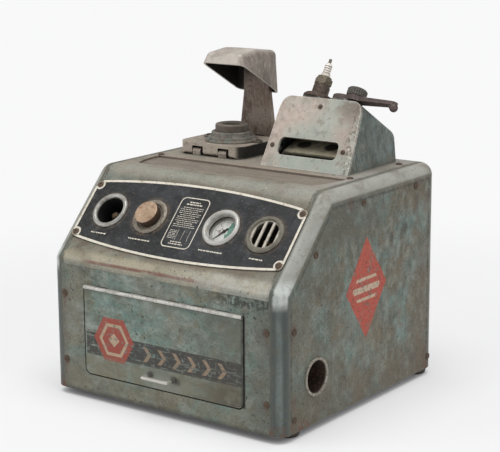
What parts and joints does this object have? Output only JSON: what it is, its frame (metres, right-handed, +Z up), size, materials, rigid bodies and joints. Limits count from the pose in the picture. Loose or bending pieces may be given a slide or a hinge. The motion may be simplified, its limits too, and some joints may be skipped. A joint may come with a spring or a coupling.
{
  "type": "spark plug cleaner and tester",
  "caption": "Bench machine that grit-blasts spark plugs under a tilting hood and tests their spark at a ported, mirrored head over a sloping panel.",
  "frame": {"origin": "on the floor under the middle of the cabinet", "axes": "+X to the operator's right, +Y from the control face to the back, +Z up"},
  "size_m": [0.3604, 0.384, 0.421],
  "materials": {
    "side_paint": "worn satin grey-green paint, bluish-grey edges rubbed to metal",
    "deck_paint": "grey-green paint under pinkish-brown grime",
    "front_paint": "worn satin grey-green paint",
    "door_paint": "worn satin grey-green paint with a charcoal band",
    "pan_paint": "dull dark paint",
    "frame_steel": "dull steel",
    "foot_rubber": "matt black rubber",
    "screw_steel": "rusty dark steel",
    "handle_chrome": "worn bright plating",
    "hinge_steel": "bright rolled steel",
    "fascia_paint": "near-black satin with a blue-grey bloom",
    "bezel_chrome": "dulled plating",
    "dish_steel": "plating worn to a pinkish brown",
    "knob_metal": "satin with tan-brown deposit",
    "brass_parts": "dull brass",
    "case_steel": "dark paint",
    "dial_white": "white enamel with a teal arc",
    "pointer_black": "matt black",
    "clear_glass": "clear flat glass",
    "sleeve_steel": "dull grey steel",
    "cleaner_cast": "cast, tan-grey in front and dark at the side",
    "ring_cast": "dark grey-green casting",
    "boot_rubber": "hard dark brown rubber",
    "hood_cast": "grey-brown casting with rubbed edges",
    "tester_cast": "cast, worn dark green-grey paint",
    "tester_plate": "pale sage paint with tan blotches",
    "mirror_glass": "silvered, stained olive brown",
    "bracket_steel": "plain bent sheet",
    "chamber_cast": "dark browned brass",
    "adapter_metal": "dark brown",
    "plug_metal": "browned steel",
    "plug_ceramic": "white glaze with brown ribs",
    "lever_cast": "reddish-brown worn casting",
    "cap_black": "knurled, black brown",
    "coil_black": "black enamel"
  },
  "bodies": {
    "cabinet": {"left_side": "side_paint", "right_side": "side_paint", "top_wrap": "deck_paint", "front_panel": "front_paint", "back_panel": "front_paint", "base_pan": "pan_paint", "side_frames": "frame_steel", "feet": "foot_rubber", "cabinet_screws": "screw_steel", "storage_box": "pan_paint", "hinge_leaf": "hinge_steel", "hinge_pin": "frame_steel", "fascia_plate": "fascia_paint", "indicator_bezel": "bezel_chrome", "lamp_socket": "brass_parts", "knob_dish": "dish_steel", "control_valve": "brass_parts", "gauge_bezel": "bezel_chrome", "gauge_case": "case_steel", "gauge_dial": "dial_white", "gauge_glass": "clear_glass", "bourdon_tube": "brass_parts", "gap_grille": "bezel_chrome", "gap_cup": "case_steel", "gap_points": "brass_parts", "exhaust_sleeve": "sleeve_steel", "cleaner_lugs": "hinge_steel", "hopper": "frame_steel", "blast_nozzle": "brass_parts", "test_housing": "tester_cast", "test_plate": "tester_plate", "plate_screws": "screw_steel", "sight_mirror": "mirror_glass", "mirror_bracket": "bracket_steel", "test_chamber": "chamber_cast", "port_adapter": "adapter_metal", "lever_stud": "frame_steel", "air_inlet": "brass_parts", "ignition_coil": "coil_black", "coil_clamp": "bracket_steel"},
    "door": {"door": "door_paint", "door_handle": "handle_chrome", "hinge_flap": "hinge_steel"},
    "knob": {"control_knob": "knob_metal"},
    "pointer": {"gauge_pointer": "pointer_black"},
    "cleaner_head": {"cleaner_base": "cleaner_cast", "cleaner_pins": "frame_steel", "clamp_ring": "ring_cast", "ring_screws": "screw_steel", "rubber_boot": "boot_rubber", "arm_pin": "frame_steel", "arm_spring": "frame_steel"},
    "hood_and_arm": {"hood_arm": "hood_cast", "hood": "hood_cast", "hood_rivets": "frame_steel"},
    "lever": {"valve_lever": "lever_cast"},
    "cap": {"knurled_cap": "cap_black"},
    "spark_plug": {"plug_shell": "plug_metal", "plug_insulator": "plug_ceramic", "plug_terminal": "plug_metal"}
  },
  "joints": [
    {"name": "door_hinge", "type": "hinge", "parent": "cabinet", "child": "door", "pos_m": [0, -0.1756, 0.1472], "axis": [-1, 0, 0], "range_deg": [0, 105]},
    {"name": "knob_turn", "type": "hinge", "parent": "cabinet", "child": "knob", "pos_m": [-0.0552, -0.12414, 0.23446], "axis": [0, 0.7245, -0.6893], "range_deg": [0, 270]},
    {"name": "pointer_swing", "type": "hinge", "parent": "cabinet", "child": "pointer", "pos_m": [0.0552, -0.12414, 0.23446], "axis": [0, 0.7245, -0.6893], "range_deg": [0, 260], "stiffness_Nm_per_rad": 0.001, "springref_deg": -5.73},
    {"name": "head_tilt", "type": "hinge", "parent": "cabinet", "child": "cleaner_head", "pos_m": [-0.0845, 0.04, 0.2893], "axis": [1, 0, 0], "range_deg": [0, 60]},
    {"name": "hood_press", "type": "hinge", "parent": "cleaner_head", "child": "hood_and_arm", "pos_m": [-0.081, 0.14, 0.2935], "axis": [1, 0, 0], "range_deg": [0, 28], "stiffness_Nm_per_rad": 1, "springref_deg": -28.65},
    {"name": "lever_swing", "type": "hinge", "parent": "cabinet", "child": "lever", "pos_m": [0.1087, 0.08163, 0.36258], "axis": [0, -0.5228, -0.8525], "range_deg": [0, 90]},
    {"name": "cap_turn", "type": "hinge", "parent": "cabinet", "child": "cap", "pos_m": [0.1087, 0.08163, 0.36258], "axis": [0, 0.5228, 0.8525], "range_deg": [0, 180]},
    {"name": "plug_lift", "type": "slide", "parent": "cabinet", "child": "spark_plug", "axis": [0, 0.5228, 0.8525], "range_m": [0, 0.04]}
  ]
}
